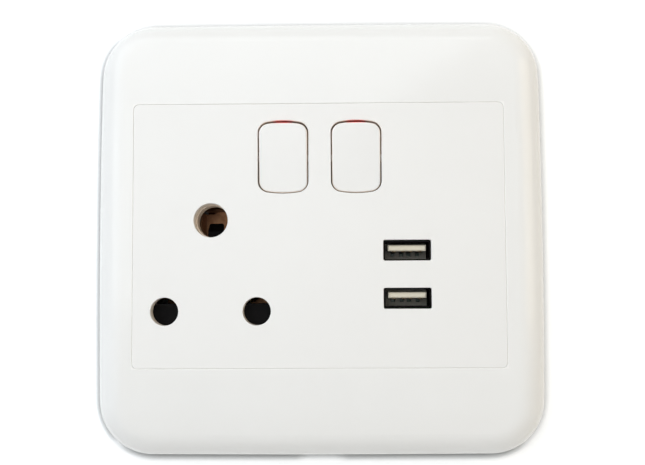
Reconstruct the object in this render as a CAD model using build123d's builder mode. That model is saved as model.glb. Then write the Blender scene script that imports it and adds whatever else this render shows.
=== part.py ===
from build123d import *
import os
from math import asin, cos, degrees, radians, sin, tan

# A wall socket plate with a round-pin outlet, two rocker switches and two charging ports.
# Millimetres and degrees. X runs to the right, Y runs into the wall and Z runs up.
# The origin is on the wall, in the middle of the plate.
# A height is a distance in front of the wall, so what sits in the wall box has a negative one.

os.makedirs("parts", exist_ok=True)

# Cover frame: the domed surround
plate_width = 125.0
plate_height = 122.0
plate_depth = 11.0
side_bow = 0.75
end_bow = 0.3
corner_radius = 15.0
edge_roll = 8.0
band_radius = 80.0
band_margin = 3.0
cover_wall = 2.4
seam_gap = 0.03
seam_round = 0.2
seam_lip = 1.4
collar_wall = 1.4
collar_depth = 6.0
hook_width = 8.0
hook_thickness = 1.6
hook_nose = 0.9
hook_length = 2.4
hook_spacing = 56.0
hook_offset = 9.0
hook_clearance = 0.25
hook_bite = 0.2
pry_width = 12.0
pry_height = 1.4
pry_reach = 4.8

# Front panel: the flat insert with every aperture
side_band = 11.3
panel_height = 72.9
panel_x = -0.4
panel_z = 0.1
panel_skin = 2.2
panel_corner = 1.4
skirt_wall = 1.6
skirt_corner = 0.5
flange_reach = 0.8
flange_gap = 0.1
aperture_round = 0.2

# Mounting frame: the steel frame behind the cover
frame_thickness = 1.2
frame_clearance = 2.0
frame_corner = 10.5
frame_lip = 2.5
frame_bend = 1.0
window_corner = 1.5
wall_screw_spacing = 83.5
wall_screw_hole = 4.5

# Rear housing
housing_inset = 1.8
housing_depth = 16.0
housing_wall = 2.0
housing_corner = 3.0
housing_round = 1.2
rim_lap = 0.4
boss_radius = 3.2
boss_margin = 0.95
housing_screw = 2.9
housing_screw_head = 5.6
head_height = 2.0
screw_clearance = 0.05
screw_bite = 6.0
screw_end_room = 1.0
cross_length = 3.4

# Outlet: three round holes
socket_inset = 21.5
pin_line_rise = 15.55
pin_spacing = 25.4
earth_rise = 25.05
pin_hole = 7.7
earth_hole = 9.4
earth_step = 0.4
earth_step_depth = 5.0
pin_tube_depth = 3.7
earth_tube_depth = 10.0
tube_wall = 1.3

# Contact clips, bent from brass strip
pin_diameter = 7.05
earth_pin_diameter = 8.7
strip = 0.8
clip_grip = 0.6
clip_flare = 1.0
clip_lead = 1.6
clip_bend = 0.6
clip_width = 7.0
earth_clip_width = 8.0
cheek_gap = 0.15
cheek_corner_gap = 0.5
link_width = 4.2
live_link_width = 2.6
link_gap = 3.2

# Safety shutter: a spring-loaded slider
slide_gap = 0.3
bar_thickness = 2.5
bar_height = 8.4
bar_rise = 2.1
bar_lap = 0.75
bar_corner = 1.0
shutter_travel = 6.0
stem_width = 5.0
tab_top_width = 4.1
tab_thickness = 3.0
tab_corner = 0.6
tab_ramp = 2.4
web_thickness = 2.5
rail_wall = 1.2
rail_lip = 1.0
spring_boss = 5.6
spring_wire = 0.4
spring_radius = 1.3
spring_turns = 8
spring_lift = 0.2
wire_sides = 6
peg_length = 2.0
spring_pocket = 4.0
pocket_clearance = 0.2
stop_width = 6.0
stop_height = 1.2

# Rocker switches
rocker_spacing = 20.2
rocker_drop = 14.85
rocker_width = 13.3
rocker_height = 19.4
rocker_lift = 0.08
rocker_depth = 5.0
rocker_bow = 0.9
rocker_corner = 2.75
rocker_draft = 4.0
rocker_round = 0.5
rocker_side_gap = 0.35
rocker_end_gap = 0.45
rocker_tilt = 5.0
pivot_depth = 3.4
trunnion_radius = 1.1
trunnion_clearance = 0.05
lug_gap = 0.35
lug_thickness = 2.0
lug_length = 5.0
lug_cheek = 1.5
stem_radius = 2.75
stem_reach = 7.5
stem_bore = 1.8
bore_depth = 7.0
plunger_radius = 1.72
plunger_length = 7.5
plunger_reach = 12.0
plunger_tip_round = 1.6
switch_spring_wire = 0.45
switch_spring_radius = 1.35
switch_spring_turns = 4

# See-saw contacts under the rockers
seesaw_gap = 0.4
seesaw_half = 8.0
seesaw_width = 5.0
crimp = 1.0
tip_radius = 1.5
tip_thickness = 0.8
tip_offset = 7.0
contact_gap = 0.15
flange_half = 1.9
riser_offset = 2.3
fold_radius = 1.0
notch_depth = 0.6
notch_half_angle = 60.0
notch_clearance = 0.1
post_half = 2.2
post_pitch = 3.4

# Terminals
terminal_size = 8.0
terminal_depth = 8.0
terminal_clearance = 0.1
terminal_chamfer = 0.4
wire_hole = 4.0
terminal_screw = 3.3
terminal_screw_reach = 1.8
terminal_screw_lift = 2.4
terminal_head = 5.6
terminal_head_height = 2.2
head_chamfer = 0.3
screw_slot = 0.9
shroud_wall = 1.5
shroud_gap = 0.6
wire_notch = 5.0

# Charging ports
usb_inset = 26.9
usb_drop = 10.95
usb_pitch = 13.16
usb_board_pitch = 12.9
usb_width = 13.1
usb_height = 5.7
usb_corner = 0.5
shell_gap = 0.2
shell_wall = 0.3
shell_set_back = 0.9
shell_length = 10.1
leaf_width = 1.6
leaf_length = 4.6
leaf_slit = 0.4
leaf_pitch = 5.6
leg_width = 1.4
leg_length = 3.4
tongue_width = 10.5
tongue_thickness = 1.6
tongue_rise = 0.75
tongue_set_back = 0.7
tongue_chamfer = 0.3
back_wall = 1.6
insulator_gap = 0.05
contact_width = 1.0
contact_thickness = 0.2
contact_inner = 1.0
contact_outer = 3.5
contact_set_back = 0.8
contact_port = 1.2

# Charger board
board_width = 28.0
board_drop = 8.95
board_margin = 1.3
board_thickness = 1.6
board_gap = 0.1
board_corner = 1.0
board_post_radius = 2.5
board_pin_radius = 1.0
board_pin_clearance = 0.1
board_post_inset = 2.5
pin_clearance = 0.15
core_width = 12.0
core_height = 11.0
core_depth = 6.0
core_web = 2.2
core_leg = 2.6
winding = 2.2
coil_depth = 10.0
coil_corner = 1.2
coil_gap = 0.1
capacitor_radius = 4.0
capacitor_length = 12.0
capacitor_gap = 1.2
output_capacitor_radius = 3.1
output_capacitor_height = 8.0
output_capacitor_pitch = 8.0
capacitor_round = 0.5
bead_offset = 2.0
bead_width = 0.8
bead_depth = 0.3
controller_width = 4.0
controller_height = 5.0
controller_depth = 1.6
controller_lead_count = 4
rectifier_width = 4.6
rectifier_height = 6.4
rectifier_depth = 2.4
rectifier_lead_count = 2
chip_lead = 0.5
chip_lead_reach = 0.9
chip_lead_thickness = 0.25
chip_lead_pitch = 1.27
chip_chamfer = 0.25
tab_width = 3.0

# Heights worked out from the sizes above
skin_back = plate_depth - panel_skin
flange_front = plate_depth - seam_lip - flange_gap
pin_tube_end = plate_depth - pin_tube_depth
earth_tube_end = plate_depth - earth_tube_depth
earth_step_height = plate_depth - earth_step_depth
pivot_height = plate_depth - pivot_depth
bar_front = pin_tube_end - slide_gap
bar_back = bar_front - bar_thickness
lip_front = bar_back - slide_gap
lip_back = lip_front - rail_lip
tab_front = earth_tube_end - slide_gap
tab_back = tab_front - tab_thickness
housing_back = -housing_depth
floor_height = housing_back + housing_wall
strip_front = floor_height + strip
terminal_back = floor_height - terminal_depth

# Places worked out from the sizes above
panel_width = plate_width - 2 * side_band
panel_left = panel_x - panel_width / 2
panel_right = panel_x + panel_width / 2
panel_top = panel_z + panel_height / 2
panel_bottom = panel_z - panel_height / 2
socket_x = panel_left + socket_inset
pin_line_z = panel_bottom + pin_line_rise
rocker_z = panel_top - rocker_drop
usb_x = panel_right - usb_inset
usb_z = panel_z - usb_drop
live_x = socket_x - pin_spacing / 2
neutral_x = socket_x + pin_spacing / 2
earth_z = pin_line_z + earth_rise
live_place = (live_x, pin_line_z)
neutral_place = (neutral_x, pin_line_z)
earth_place = (socket_x, earth_z)
left_x = -rocker_spacing / 2
right_x = rocker_spacing / 2
line_place = (0.0, rocker_z)
opening_width = panel_width + 2 * seam_gap
opening_height = panel_height + 2 * seam_gap
flange_width = panel_width + 2 * flange_reach
flange_height = panel_height + 2 * flange_reach
recess_width = flange_width + 2 * flange_gap
recess_height = flange_height + 2 * flange_gap
skirt_bottom = panel_bottom + skirt_wall
housing_width = panel_width - 2 * housing_inset
housing_height = panel_height - 2 * housing_inset
cavity_width = housing_width - 2 * housing_wall
cavity_height = housing_height - 2 * housing_wall
bar_width = pin_spacing + pin_hole + 2 * bar_lap
bar_top = pin_line_z + bar_rise
bar_bottom = bar_top - bar_height
rail_inner = bar_width / 2 + slide_gap
hook_z = opening_height / 2 + hook_offset
boss_x = cavity_width / 2 - boss_radius - boss_margin
boss_z = cavity_height / 2 - boss_radius - boss_margin
inner_boss_x = socket_x + rail_inner + rail_wall + boss_radius + 2 * boss_margin
boss_places = [(-boss_x, boss_z), (boss_x, boss_z), (inner_boss_x, -boss_z), (boss_x, -boss_z)]


def at_height(height):
    """Plane parallel to the wall, seen from the front: X to the right, Z up."""
    return Plane.XZ.offset(height)


def side_view(x, z=0.0):
    """Upright plane across X: its own x runs into the wall, its own y runs up."""
    return Plane(origin=(x, 0, z), x_dir=(0, 1, 0), z_dir=(1, 0, 0))


def save(part, name):
    """Name a finished piece and write it."""
    part.label = name
    export_step(part, f"parts/{name}.step")


# The cover frame: a domed block, hollowed from behind by a smaller one of the same form.
def bowed_outline(inset):
    """Plate outline with gently bowed edges, drawn in by inset."""
    half_width = plate_width / 2 - inset
    half_height = plate_height / 2 - inset
    corner_x = half_width - side_bow
    corner_z = half_height - end_bow
    with BuildSketch() as outline:
        with BuildLine():
            right = ThreePointArc((corner_x, -corner_z), (half_width, 0), (corner_x, corner_z))
            top = ThreePointArc(right @ 1, (0, half_height), (-corner_x, corner_z))
            left = ThreePointArc(top @ 1, (-half_width, 0), (-corner_x, -corner_z))
            ThreePointArc(left @ 1, (0, -half_height), right @ 0)
        make_face()
        fillet(outline.vertices(), radius=corner_radius - inset)
    return outline.sketch


def domed_block(inset):
    """Block whose top and bottom bands curve back and whose front edge rolls over."""
    front = plate_depth - inset
    flat_half = panel_height / 2 + band_margin
    bend = band_radius - inset
    reach = plate_height / 2 - flat_half + band_margin
    bend_angle = degrees(asin(reach / bend))
    with BuildPart() as block:
        with BuildSketch(at_height(0)):
            add(bowed_outline(inset))
        extrude(amount=front)
        with BuildSketch(side_view(0)):
            with BuildLine():
                flat = Line((-front, panel_z - flat_half), (-front, panel_z + flat_half))
                upper = JernArc(flat @ 1, (0, 1), bend, -bend_angle)
                lower = JernArc(flat @ 0, (0, -1), bend, bend_angle)
                Polyline(upper @ 1, (0, (upper @ 1).Y), (0, (lower @ 1).Y), lower @ 1)
            make_face()
        extrude(amount=plate_width, both=True, mode=Mode.INTERSECT)
        back_edges = block.edges().group_by(Axis.Y)[-1]
        bend_lines = block.edges().filter_by(Axis.X)
        wall_edges = block.edges().filter_by(Axis.Y)
        fillet(block.edges() - back_edges - bend_lines - wall_edges, radius=edge_roll - inset)
    return block.part


cover_outside = domed_block(0.0)
cover_hollow = domed_block(cover_wall)
collar_back = plate_depth - collar_depth
hook_places = [(x, z) for x in (-hook_spacing / 2, hook_spacing / 2) for z in (-hook_z, hook_z)]

with BuildPart() as cover_frame:
    add(cover_outside)
    add(cover_hollow, mode=Mode.SUBTRACT)
    with BuildSketch(at_height(collar_back)):
        with Locations((panel_x, panel_z)):
            Rectangle(recess_width + 2 * collar_wall, recess_height + 2 * collar_wall)
    extrude(amount=collar_depth - cover_wall / 2)
    with BuildSketch(at_height(0)):
        with Locations((panel_x, panel_z)):
            RectangleRounded(opening_width, opening_height, panel_corner + seam_gap)
    extrude(amount=plate_depth, mode=Mode.SUBTRACT)
    front_face = cover_frame.faces().filter_by(GeomType.PLANE).sort_by(Axis.Y)[0]
    fillet(front_face.inner_wires()[0].edges(), radius=seam_round)
    with BuildSketch(at_height(0)):
        with Locations((panel_x, panel_z)):
            RectangleRounded(recess_width, recess_height, panel_corner + flange_reach)
    extrude(amount=plate_depth - seam_lip, mode=Mode.SUBTRACT)
    for hook_x, hook_at in hook_places:
        outward = 1 if hook_at > 0 else -1
        root = plate_depth - cover_wall - hook_bite
        with BuildSketch(side_view(hook_x - hook_width / 2, hook_at)):
            with BuildLine():
                Polyline(
                    (-root, 0),
                    (hook_length + hook_clearance, 0),
                    (hook_length + hook_clearance, outward * hook_thickness),
                    (hook_clearance, outward * (hook_thickness + hook_nose)),
                    (hook_clearance, outward * hook_thickness),
                    (-root, outward * hook_thickness),
                    close=True,
                )
            make_face()
        extrude(amount=hook_width)
    with BuildSketch(at_height(0)):
        with Locations((0, -plate_height / 2)):
            Rectangle(pry_width, 2 * pry_reach)
    extrude(amount=pry_height, mode=Mode.SUBTRACT)
save(cover_frame.part, "cover_frame")


# The mounting frame: pressed steel with a folded lip, which the wall screws hold.
frame_width = plate_width - 2 * (cover_wall + frame_clearance)
frame_height = plate_height - 2 * (cover_wall + frame_clearance)
window_width = cavity_width - 2 * rim_lap
window_height = cavity_height - 2 * rim_lap
slot_height = hook_thickness + 2 * hook_clearance
wall_screw_places = [(0, wall_screw_spacing / 2), (0, -wall_screw_spacing / 2)]

with BuildPart() as mounting_frame:
    with BuildSketch(at_height(0)):
        RectangleRounded(frame_width, frame_height, frame_corner)
        with Locations((panel_x, panel_z)):
            RectangleRounded(window_width, window_height, window_corner, mode=Mode.SUBTRACT)
        with Locations(*wall_screw_places):
            Circle(wall_screw_hole / 2, mode=Mode.SUBTRACT)
        for hook_x, hook_at in hook_places:
            outward = 1 if hook_at > 0 else -1
            with Locations((hook_x, hook_at + outward * hook_thickness / 2)):
                Rectangle(hook_width + 2 * hook_clearance, slot_height, mode=Mode.SUBTRACT)
    extrude(amount=frame_thickness)
    with BuildSketch(at_height(0)):
        RectangleRounded(frame_width, frame_height, frame_corner)
        RectangleRounded(
            frame_width - 2 * frame_thickness,
            frame_height - 2 * frame_thickness,
            frame_corner - frame_thickness,
            mode=Mode.SUBTRACT,
        )
    extrude(amount=frame_thickness + frame_lip)
    outer_edges = mounting_frame.faces().sort_by(Axis.Y)[-1].outer_wire().edges()
    fillet(outer_edges, radius=frame_bend)
save(mounting_frame.part, "mounting_frame")


# The rockers, drawn on planes that lean with them. Their outline also cuts the panel.
def rocker_outline(width, height, corner):
    """Upright shape with straight sides and bowed ends."""
    half_width = width / 2
    corner_z = height / 2 - rocker_bow
    with BuildSketch() as outline:
        with BuildLine():
            right = Line((half_width, -corner_z), (half_width, corner_z))
            top = ThreePointArc(right @ 1, (0, height / 2), (-half_width, corner_z))
            left = Line(top @ 1, (-half_width, -corner_z))
            ThreePointArc(left @ 1, (0, -height / 2), right @ 0)
        make_face()
        fillet(outline.vertices(), radius=corner)
    return outline.sketch


def leaning_plane(x, height, tilt):
    """Plane facing the front at a pivot, leaning so that its top comes forward by the tilt."""
    lean = radians(tilt)
    return Plane(origin=(x, -height, rocker_z), x_dir=(1, 0, 0), z_dir=(0, -cos(lean), -sin(lean)))


draft_growth = rocker_depth * tan(radians(rocker_draft))
lug_inner = rocker_width / 2 + draft_growth + lug_gap
trunnion_reach = lug_inner + lug_thickness - lug_gap
bore_end = stem_reach - bore_depth
plunger_back = plunger_reach - plunger_length


def make_rocker(x):
    """Rocker cap with its trunnions and its hollow stem, leaning to the on side."""
    plane = leaning_plane(x, pivot_height, rocker_tilt)
    with BuildPart() as rocker:
        with BuildSketch(plane.offset(pivot_depth - rocker_depth)):
            with Locations((0, rocker_lift)):
                add(
                    rocker_outline(
                        rocker_width + 2 * draft_growth,
                        rocker_height + 2 * draft_growth,
                        rocker_corner + draft_growth,
                    )
                )
        extrude(amount=rocker_depth, taper=rocker_draft)
        cap = rocker.faces().sort_by(Axis(plane.origin, plane.z_dir))[-1]
        fillet(cap.edges(), radius=rocker_round)
        with BuildSketch(Plane.YZ.offset(x - trunnion_reach)):
            with Locations((-pivot_height, rocker_z)):
                Circle(trunnion_radius)
        extrude(amount=2 * trunnion_reach)
        with BuildSketch(plane.offset(-stem_reach)):
            Circle(stem_radius)
        extrude(amount=stem_reach)
        with BuildSketch(plane.offset(-stem_reach)):
            Circle(stem_bore)
        extrude(amount=bore_depth, mode=Mode.SUBTRACT)
    return rocker.part


def make_plunger(x):
    """Round-nosed pin that slides in the stem."""
    plane = leaning_plane(x, pivot_height, rocker_tilt)
    with BuildPart() as plunger:
        with BuildSketch(plane.offset(-plunger_reach)):
            Circle(plunger_radius)
        extrude(amount=plunger_length)
        nose = plunger.faces().sort_by(Axis(plane.origin, plane.z_dir))[0]
        fillet(nose.edges(), radius=plunger_tip_round)
    return plunger.part


def make_coil(start, direction, length, turns, radius, wire):
    """Coil spring from its start point along a direction."""
    with BuildPart() as coil:
        with BuildLine() as path:
            Helix(pitch=length / turns, height=length, radius=radius, center=start, direction=direction)
        with BuildSketch(Plane(origin=path.line @ 0, z_dir=path.line % 0)):
            RegularPolygon(wire / 2, wire_sides)
        sweep(path=path.line, is_frenet=True)
    return coil.part


def make_switch_spring(x):
    """Coil between the end of the stem's bore and the plunger."""
    plane = leaning_plane(x, pivot_height, rocker_tilt)
    start = plane.from_local_coords(Vector(0, 0, -plunger_back + switch_spring_wire / 2))
    length = plunger_back - bore_end - switch_spring_wire
    turns = switch_spring_turns
    return make_coil(start, plane.z_dir, length, turns, switch_spring_radius, switch_spring_wire)


for side, x in (("left", left_x), ("right", right_x)):
    save(make_rocker(x), f"{side}_rocker")
    save(make_plunger(x), f"{side}_rocker_plunger")
    save(make_switch_spring(x), f"{side}_rocker_spring")


# The front panel: skin, flanged skirt, pin tubes, trunnion lugs, shutter rails and screw bosses.
lug_end = pivot_height - trunnion_radius - lug_cheek
lug_offset = lug_inner + lug_thickness / 2
lug_places = [(x + turn * lug_offset, rocker_z) for x in (left_x, right_x) for turn in (-1, 1)]
rail_top = bar_top + slide_gap
rail_middle = (skirt_bottom + rail_top) / 2
rail_length = rail_top - skirt_bottom
pocket_radius = spring_radius + spring_wire / 2 + pocket_clearance
spring_height = bar_front - spring_boss / 2 + spring_lift
peg_radius = spring_radius - spring_wire / 2 - pocket_clearance
usb_places = [(usb_x, usb_z + usb_pitch / 2), (usb_x, usb_z - usb_pitch / 2)]

with BuildPart() as front_panel:
    with BuildSketch(at_height(skin_back)):
        with Locations((panel_x, panel_z)):
            RectangleRounded(panel_width, panel_height, panel_corner)
    extrude(amount=panel_skin)
    fillet(front_panel.edges().group_by(Axis.Y)[0], radius=seam_round)
    with BuildSketch(at_height(skin_back)):
        for x in (left_x, right_x):
            with Locations((x, rocker_z)):
                add(
                    rocker_outline(
                        rocker_width + 2 * rocker_side_gap,
                        rocker_height + 2 * rocker_end_gap,
                        rocker_corner + rocker_side_gap,
                    )
                )
        with Locations(*usb_places):
            RectangleRounded(usb_width, usb_height, usb_corner)
        with Locations(live_place, neutral_place):
            Circle(pin_hole / 2)
        with Locations(earth_place):
            Circle(earth_hole / 2)
    extrude(amount=panel_skin, mode=Mode.SUBTRACT)
    outer_face = front_panel.faces().filter_by(GeomType.PLANE).sort_by(Axis.Y)[0]
    fillet([edge for wire in outer_face.inner_wires() for edge in wire.edges()], radius=aperture_round)
    with BuildSketch(at_height(frame_thickness)):
        with Locations((panel_x, panel_z)):
            RectangleRounded(flange_width, flange_height, panel_corner + flange_reach)
            RectangleRounded(
                panel_width - 2 * skirt_wall, panel_height - 2 * skirt_wall, skirt_corner, mode=Mode.SUBTRACT
            )
    extrude(amount=flange_front - frame_thickness)
    with BuildSketch(at_height(0)):
        with Locations(*boss_places):
            Circle(boss_radius)
    extrude(amount=skin_back)
    with BuildSketch(at_height(0)):
        with Locations(*boss_places):
            Circle(housing_screw / 2 + screw_clearance)
    extrude(amount=screw_bite + screw_end_room, mode=Mode.SUBTRACT)
    with BuildSketch(at_height(pin_tube_end)):
        with Locations(live_place, neutral_place):
            Circle(pin_hole / 2 + tube_wall)
            Circle(pin_hole / 2, mode=Mode.SUBTRACT)
    extrude(amount=skin_back - pin_tube_end)
    with BuildSketch(at_height(earth_step_height)):
        with Locations(earth_place):
            Circle(earth_hole / 2 + tube_wall)
            Circle(earth_hole / 2, mode=Mode.SUBTRACT)
    extrude(amount=skin_back - earth_step_height)
    with BuildSketch(at_height(earth_tube_end)):
        with Locations(earth_place):
            Circle(earth_hole / 2 + tube_wall)
            Circle((earth_hole - earth_step) / 2, mode=Mode.SUBTRACT)
    extrude(amount=earth_step_height - earth_tube_end)
    with BuildSketch(at_height(lug_end)):
        with Locations(*lug_places):
            Rectangle(lug_thickness, lug_length)
    extrude(amount=skin_back - lug_end)
    for x in (left_x, right_x):
        with BuildSketch(Plane.YZ.offset(x - trunnion_reach - lug_gap)):
            with Locations((-pivot_height, rocker_z)):
                Circle(trunnion_radius + trunnion_clearance)
        extrude(amount=2 * (trunnion_reach + lug_gap), mode=Mode.SUBTRACT)
    for turn in (-1, 1):
        rail_x = socket_x + turn * (rail_inner + rail_wall / 2)
        lip_x = socket_x + turn * (rail_inner + rail_wall - (rail_wall + rail_lip + slide_gap) / 2)
        with BuildSketch(at_height(lip_back)):
            with Locations((rail_x, rail_middle)):
                Rectangle(rail_wall, rail_length)
        extrude(amount=skin_back - lip_back)
        with BuildSketch(at_height(lip_back)):
            with Locations((lip_x, rail_middle)):
                Rectangle(rail_wall + rail_lip + slide_gap, rail_length)
        extrude(amount=rail_lip)
        with BuildSketch(at_height(bar_back)):
            with Locations((socket_x + turn * pin_spacing / 4, rail_top + stop_height / 2)):
                Rectangle(stop_width, stop_height)
        extrude(amount=skin_back - bar_back)
    with BuildSketch(Plane.XY.offset(skirt_bottom - skirt_wall / 2)):
        with Locations((socket_x, -spring_height)):
            Circle(peg_radius)
    extrude(amount=skirt_wall / 2 + peg_length)
save(front_panel.part, "front_panel")


# The safety shutter: a bar across the live and neutral holes, and a stem that steps back to the earth hole.
web_bottom = earth_z - earth_hole / 2 - tube_wall - shutter_travel
web_top = web_bottom + web_thickness
boss_back = bar_front - spring_boss
pocket_top = bar_bottom + spring_pocket

with BuildPart() as safety_shutter:
    with BuildSketch(at_height(bar_back)):
        with Locations((socket_x, (bar_top + bar_bottom) / 2)):
            RectangleRounded(bar_width, bar_height, bar_corner)
    extrude(amount=bar_thickness)
    with BuildSketch(at_height(boss_back)):
        with Locations((socket_x, (bar_top + bar_bottom) / 2)):
            Rectangle(spring_boss, bar_height)
    extrude(amount=spring_boss)
    with BuildSketch(side_view(socket_x - stem_width / 2)):
        with BuildLine():
            Polyline(
                (-bar_front, bar_bottom + bar_height / 2),
                (-bar_front, web_top),
                (-tab_back, web_top),
                (-tab_back, web_bottom),
                (-bar_back, web_bottom),
                (-bar_back, bar_bottom + bar_height / 2),
                close=True,
            )
        make_face()
    extrude(amount=stem_width)
    with BuildSketch(at_height(tab_back)) as tab:
        with BuildLine():
            Polyline(
                (socket_x - stem_width / 2, web_bottom),
                (socket_x + stem_width / 2, web_bottom),
                (socket_x + tab_top_width / 2, earth_z),
                (socket_x - tab_top_width / 2, earth_z),
                close=True,
            )
        make_face()
        fillet(tab.vertices().group_by(Axis.Z)[-1], radius=tab_corner)
    extrude(amount=tab_thickness)
    with BuildSketch(side_view(socket_x - stem_width)):
        with BuildLine():
            Polyline(
                (-tab_front, earth_z - tab_ramp),
                (-tab_front + tab_ramp, earth_z),
                (-tab_front, earth_z),
                close=True,
            )
        make_face()
    extrude(amount=2 * stem_width, mode=Mode.SUBTRACT)
    with BuildSketch(Plane.XY.offset(bar_bottom)):
        with Locations((socket_x, -spring_height)):
            Circle(pocket_radius)
    extrude(amount=spring_pocket, mode=Mode.SUBTRACT)
save(safety_shutter.part, "safety_shutter")

spring_start = (socket_x, -spring_height, skirt_bottom + spring_wire / 2)
spring_length = pocket_top - skirt_bottom - spring_wire
shutter_spring = make_coil(spring_start, (0, 0, 1), spring_length, spring_turns, spring_radius, spring_wire)
save(shutter_spring, "shutter_spring")


# The contact clips: two jaws and a back plate, grooved to the pin.
def make_clip(place, pin, front, width):
    """Clip bent from strip, standing on the housing floor with its mouth to the front."""
    x, z = place
    half_gap = (pin - clip_grip) / 2
    with BuildPart() as clip:
        with BuildSketch(side_view(x - width / 2, z)):
            with BuildLine():
                FilletPolyline(
                    (-front, half_gap + clip_flare),
                    (-front + clip_lead, half_gap),
                    (-strip_front, half_gap),
                    (-strip_front, -half_gap),
                    (-front + clip_lead, -half_gap),
                    (-front, -half_gap - clip_flare),
                    radius=clip_bend,
                )
                offset(amount=strip, side=Side.LEFT)
            make_face()
        extrude(amount=width)
        with BuildSketch(at_height(strip_front)):
            with Locations(place):
                Circle(pin / 2)
        extrude(amount=front - strip_front, mode=Mode.SUBTRACT)
    return clip.part


pin_clip_front = lip_back - slide_gap
earth_clip_front = tab_back - 2 * slide_gap
live_clip = make_clip(live_place, pin_diameter, pin_clip_front, clip_width)
neutral_clip = make_clip(neutral_place, pin_diameter, pin_clip_front, clip_width)
earth_clip = make_clip(earth_place, earth_pin_diameter, earth_clip_front, earth_clip_width)

# See-saw heights: the plunger rests just off the strip, and the closed tips just off each other.
seesaw_front = pivot_height - plunger_reach - seesaw_gap
seesaw_pivot = seesaw_front - strip - crimp
lean_sine = sin(radians(rocker_tilt))
lean_cosine = cos(radians(rocker_tilt))
tip_low = seesaw_pivot + (crimp - tip_thickness) * lean_cosine - (tip_offset + tip_radius) * lean_sine
fixed_tip_front = tip_low - contact_gap
flange_front = fixed_tip_front - tip_thickness
fixed_tip_z = rocker_z + tip_offset * lean_cosine
riser_z = fixed_tip_z + riser_offset
foot_z = (fixed_tip_z - flange_half + riser_z) / 2
foot_length = riser_z - fixed_tip_z + flange_half

# The board stands behind the port shells, with its parts on the far side.
shell_front = plate_depth - shell_set_back
shell_back = shell_front - shell_length
board_front = shell_back - board_gap
board_back = board_front - board_thickness
board_left = usb_x - board_width / 2
board_top = rocker_z - board_drop
board_bottom = panel_z - cavity_height / 2 + board_margin
board_height = board_top - board_bottom
board_z = (board_top + board_bottom) / 2
supply_x = board_left + board_post_inset + board_post_radius + tab_width
neutral_tab_x = supply_x - tab_width / 2
link_x = right_x + seesaw_width / 2 + link_gap + link_width / 2
supply_top_z = board_top - board_post_inset

live_link_x = live_x + clip_width / 2 + live_link_width / 2
live_foot_start = live_link_x - live_link_width / 2
live_foot_end = left_x + seesaw_width / 2
with BuildPart() as live_contact:
    add(live_clip)
    with BuildSketch(at_height(floor_height)):
        with Locations((live_link_x, (pin_line_z + foot_z) / 2)):
            Rectangle(live_link_width, foot_z - pin_line_z + foot_length)
        with Locations(((live_x + live_link_x) / 2, pin_line_z)):
            Rectangle(live_link_x - live_x, link_width)
        with Locations(((live_foot_start + live_foot_end) / 2, foot_z)):
            Rectangle(live_foot_end - live_foot_start, foot_length)
    extrude(amount=strip)
save(live_contact.part, "live_contact")

with BuildPart() as neutral_contact:
    add(neutral_clip)
    with BuildSketch(at_height(floor_height)):
        with Locations(((neutral_x + neutral_tab_x) / 2, pin_line_z)):
            Rectangle(neutral_tab_x - neutral_x, link_width)
    extrude(amount=strip)
    with BuildSketch(at_height(floor_height)):
        with Locations((neutral_tab_x - strip / 2, pin_line_z)):
            Rectangle(strip, tab_width)
    extrude(amount=board_back - floor_height)
save(neutral_contact.part, "neutral_contact")

# The earth clip also has a cheek on each side of the pin, folded up from the back plate.
cheek_x = earth_pin_diameter / 2 + cheek_gap + strip / 2
cheek_height = earth_pin_diameter - clip_grip - 2 * cheek_corner_gap
with BuildPart() as earth_contact:
    add(earth_clip)
    with BuildSketch(at_height(floor_height)):
        with Locations(earth_place):
            Rectangle(2 * cheek_x + strip, cheek_height)
    extrude(amount=strip)
    with BuildSketch(at_height(floor_height)):
        with Locations((socket_x - cheek_x, earth_z), (socket_x + cheek_x, earth_z)):
            Rectangle(strip, cheek_height)
    extrude(amount=earth_clip_front - floor_height)
save(earth_contact.part, "earth_contact")


# The switch works: a busbar with notched posts, see-saw strips and fixed contacts.
def make_seesaw(x):
    """Strip with a crimp that rocks in the notches of the busbar."""
    lean = radians(rocker_tilt)
    corner = (x - seesaw_width / 2, -seesaw_pivot, rocker_z)
    plane = Plane(origin=corner, x_dir=(0, sin(lean), cos(lean)), z_dir=(1, 0, 0))
    with BuildPart() as seesaw:
        with BuildSketch(plane):
            with BuildLine():
                Polyline(
                    (-seesaw_half, crimp),
                    (-crimp, crimp),
                    (0, 0),
                    (crimp, crimp),
                    (seesaw_half, crimp),
                )
                offset(amount=strip, side=Side.LEFT)
            make_face()
        extrude(amount=seesaw_width)
    return seesaw.part


def make_moving_tip(x):
    """Contact rivet under the upper end of a see-saw."""
    plane = leaning_plane(x, seesaw_pivot, -rocker_tilt)
    with BuildPart() as tip:
        with BuildSketch(plane.offset(crimp - tip_thickness)):
            with Locations((0, tip_offset)):
                Circle(tip_radius)
        extrude(amount=tip_thickness)
    return tip.part


def make_fixed_tip(x):
    """Contact rivet on the flange that the see-saw closes on."""
    with BuildPart() as tip:
        with BuildSketch(at_height(flange_front)):
            with Locations((x, fixed_tip_z)):
                Circle(tip_radius)
        extrude(amount=tip_thickness)
    return tip.part


def make_fixed_contact(x, foot_back):
    """Strip folded into a foot, a riser and a flange for the fixed tip."""
    with BuildPart() as contact:
        with BuildSketch(side_view(x - seesaw_width / 2)):
            with BuildLine():
                FilletPolyline(
                    (-flange_front, fixed_tip_z - flange_half),
                    (-flange_front, riser_z),
                    (-foot_back, riser_z),
                    (-foot_back, fixed_tip_z - flange_half),
                    radius=fold_radius,
                )
                offset(amount=strip, side=Side.RIGHT)
            make_face()
        extrude(amount=seesaw_width)
    return contact.part


for side, x in (("left", left_x), ("right", right_x)):
    save(make_seesaw(x), f"{side}_moving_contact")
    save(make_moving_tip(x), f"{side}_moving_tip")
    save(make_fixed_tip(x), f"{side}_fixed_tip")

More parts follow.
